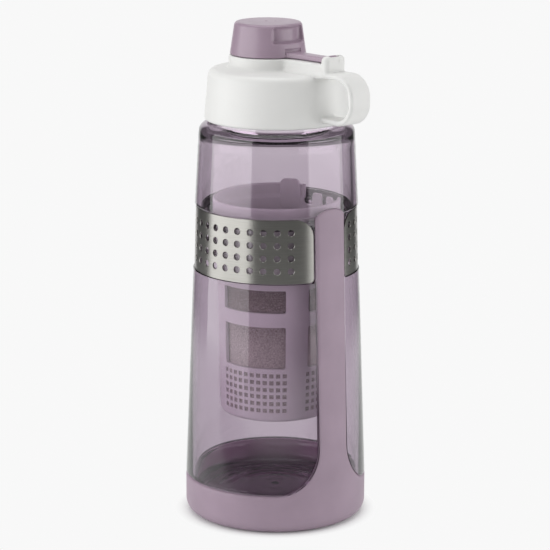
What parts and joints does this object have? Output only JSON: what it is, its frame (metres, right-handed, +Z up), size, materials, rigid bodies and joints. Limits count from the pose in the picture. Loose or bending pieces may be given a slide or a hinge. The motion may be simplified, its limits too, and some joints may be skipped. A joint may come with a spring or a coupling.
{
  "type": "tea infuser bottle",
  "caption": "Tapered clear bottle in a soft boot, with a perforated steel band, a hanging tea basket, and a screw lid with a carry loop and a flip-up spout cap.",
  "frame": {"origin": "middle of the flat foot under the boot", "axes": "+Z up along the bottle's axis, +X towards the carry loop when the lid is closed, +Y to the left of it"},
  "size_m": [0.0967, 0.085, 0.2324],
  "materials": {
    "clear_plastic": "clear, tinted",
    "soft_boot": "matt, soft touch",
    "steel": "brushed round the bottle",
    "basket_plastic": "satin",
    "mesh": "fine woven wire",
    "lid_plastic": "satin",
    "silicone": "matt",
    "cap_plastic": "satin"
  },
  "bodies": {
    "bottle": {"bottle": "clear_plastic", "boot": "soft_boot", "steel_band": "steel"},
    "infuser": {"infuser_basket": "basket_plastic", "infuser_mesh": "mesh"},
    "gasket": {"lid_gasket": "silicone"},
    "lid": {"lid": "lid_plastic", "hinge_pin": "steel"},
    "cap": {"spout_cap": "cap_plastic", "cap_seal": "silicone"}
  },
  "joints": [
    {"name": "infuser_lift", "type": "slide", "parent": "bottle", "child": "infuser", "axis": [0, 0, 1], "range_m": [0, 0.036]},
    {"name": "lid_rise", "type": "slide", "parent": "bottle", "child": "gasket", "axis": [0, 0, 1], "range_m": [0, 0.0136]},
    {"name": "lid_turn", "type": "hinge", "parent": "gasket", "child": "lid", "pos_m": [0, 0, 0.1879], "axis": [0, 0, 1], "range_deg": [0, 810]},
    {"name": "cap_flip", "type": "hinge", "parent": "lid", "child": "cap", "pos_m": [0.035, 0, 0.2187], "axis": [0, 1, 0], "range_deg": [0, 120]}
  ],
  "couplings": [
    {"joint": "lid_rise", "follows": "lid_turn", "m_per_rad": 0.00095493}
  ]
}
